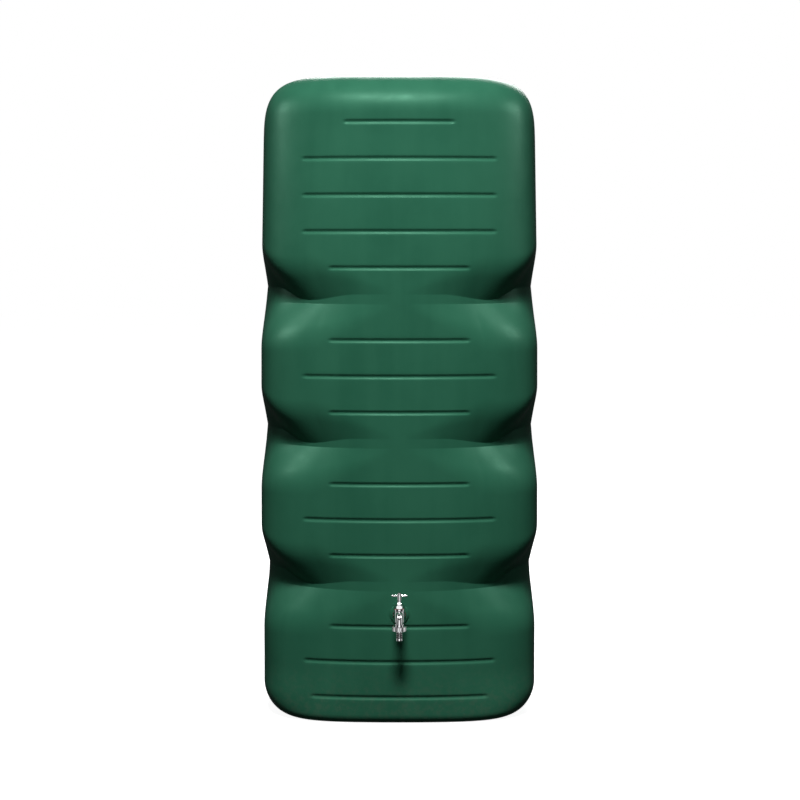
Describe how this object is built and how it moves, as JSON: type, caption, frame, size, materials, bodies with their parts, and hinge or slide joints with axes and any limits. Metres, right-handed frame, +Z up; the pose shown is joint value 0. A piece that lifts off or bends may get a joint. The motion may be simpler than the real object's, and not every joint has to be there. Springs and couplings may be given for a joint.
{
  "type": "rain barrel",
  "caption": "Tall slim blow-moulded rain barrel with pinched waists, grooved front, screw lid with gasket, side inlet and a chrome garden tap with tee handle and hose tail.",
  "frame": {"origin": "middle of the tank's base, on the ground", "axes": "+Z up; -Y towards the front, where the tap is; +X to the right seen from the front, the side with the filler hose's inlet"},
  "size_m": [0.785, 0.6464, 1.7805],
  "materials": {
    "tank_plastic": "satin green polyethylene with a fine mould grain",
    "lid_plastic": "satin green injection-moulded plastic",
    "rubber_black": "matt black rubber",
    "tap_chrome": "polished chrome plating on brass",
    "bare_brass": "turned brass",
    "seal_fibre": "red vulcanised fibre",
    "packing_white": "white low-friction plastic"
  },
  "bodies": {
    "tank": {"tank_shell": "tank_plastic", "inlet_grommet": "rubber_black", "threaded_insert": "bare_brass", "tap_seal": "rubber_black", "tap_body": "tap_chrome", "bonnet": "tap_chrome", "bonnet_seal": "seal_fibre", "gland_nut": "tap_chrome", "gland_packing": "packing_white", "union_nut": "tap_chrome", "union_washer": "rubber_black", "hose_tail": "tap_chrome"},
    "gasket": {"lid_gasket": "rubber_black"},
    "lid": {"lid": "lid_plastic"},
    "valve": {"jumper_valve": "bare_brass", "valve_washer": "rubber_black", "washer_nut": "bare_brass"},
    "spindle": {"spindle": "tap_chrome", "tee_handle": "tap_chrome", "handle_screw": "tap_chrome"}
  },
  "joints": [
    {"name": "lid_lift", "type": "slide", "parent": "tank", "child": "gasket", "axis": [0, 0, 1], "range_m": [0, 0.25]},
    {"name": "lid_unscrew", "type": "hinge", "parent": "gasket", "child": "lid", "pos_m": [0, 0, 1.772], "axis": [0, 0, 1], "range_deg": [0, 540]},
    {"name": "valve_lift", "type": "slide", "parent": "tank", "child": "valve", "axis": [0, 0, 1], "range_m": [0, 0.007]},
    {"name": "handle_turn", "type": "hinge", "parent": "valve", "child": "spindle", "pos_m": [0, -0.318, 0.348], "axis": [0, 0, 1], "range_deg": [0, 720]}
  ],
  "couplings": [
    {"joint": "handle_turn", "follows": "valve_lift", "rad_per_m": 1795.2}
  ]
}
